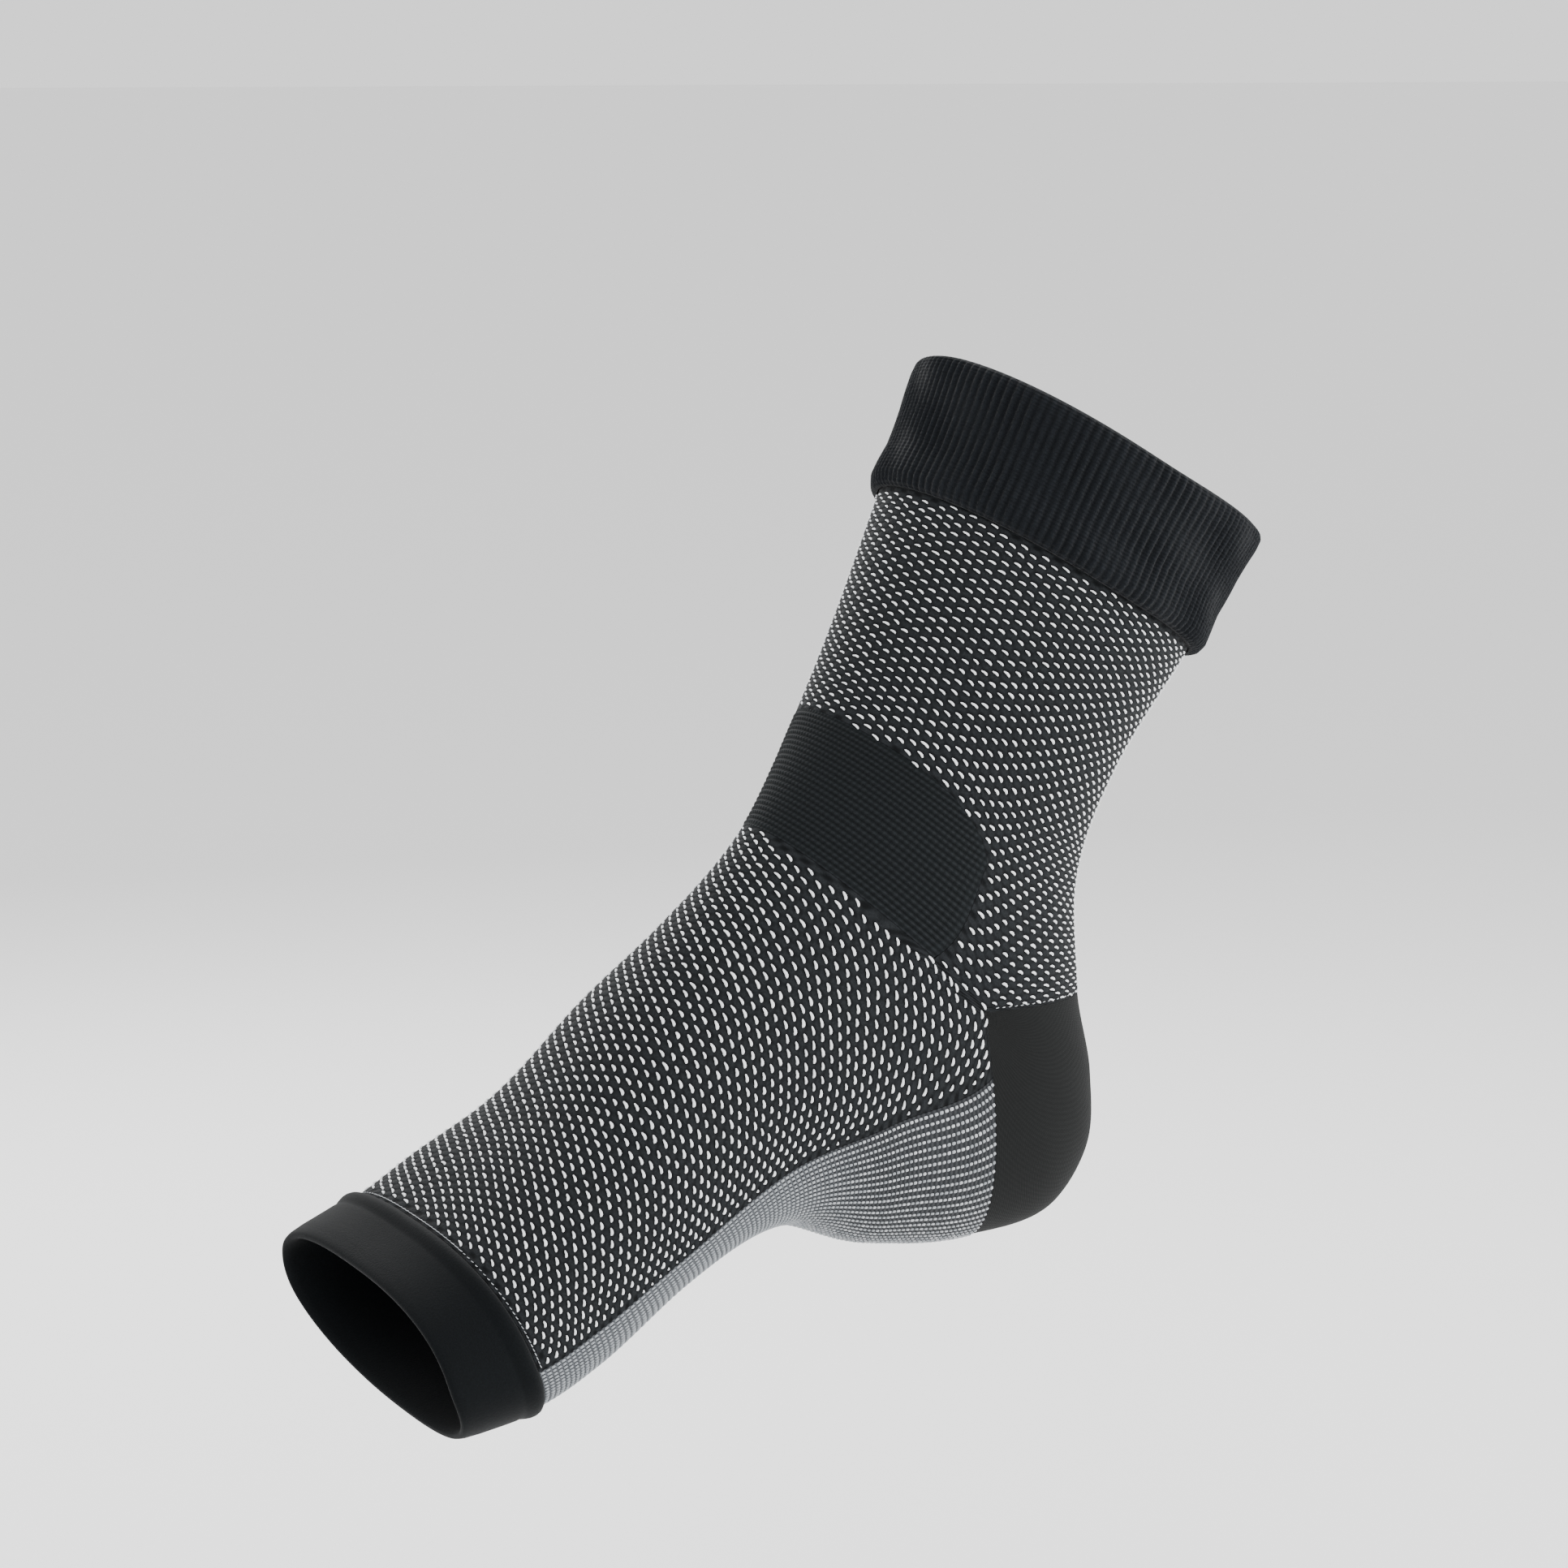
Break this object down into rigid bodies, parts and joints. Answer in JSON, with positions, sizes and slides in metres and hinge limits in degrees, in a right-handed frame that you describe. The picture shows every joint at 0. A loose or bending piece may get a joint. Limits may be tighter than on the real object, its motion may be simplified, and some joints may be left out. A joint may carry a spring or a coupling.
{
  "type": "arch support sleeve",
  "caption": "Open-toe knitted compression sleeve for the right foot and ankle, with a ribbed cuff, heel pocket, instep panel, ribbed arch panel and smooth toe band.",
  "frame": {"origin": "middle of the wearer's ankle joint, inside the hollow, where the sleeve sits when worn", "axes": "toes towards -X and pointed down, leg up towards +Z and leaning to +X, arch side towards -Y"},
  "size_m": [0.2444, 0.0936, 0.2471],
  "materials": {
    "cuff_rib": "black ribbed nylon and elastane double welt",
    "body_knit": "charcoal knit with rows of white float stitches",
    "panel_knit": "plain dark fine knit",
    "heel_knit": "plain charcoal fine knit",
    "arch_rib": "light grey ribbed elastic knit",
    "band_knit": "black smooth turned knit"
  },
  "bodies": {
    "root": {"ankle_cuff": "cuff_rib", "knit_body": "body_knit", "instep_panel": "panel_knit", "heel_pocket": "heel_knit", "arch_panel": "arch_rib", "toe_band": "band_knit"}
  },
  "joints": []
}
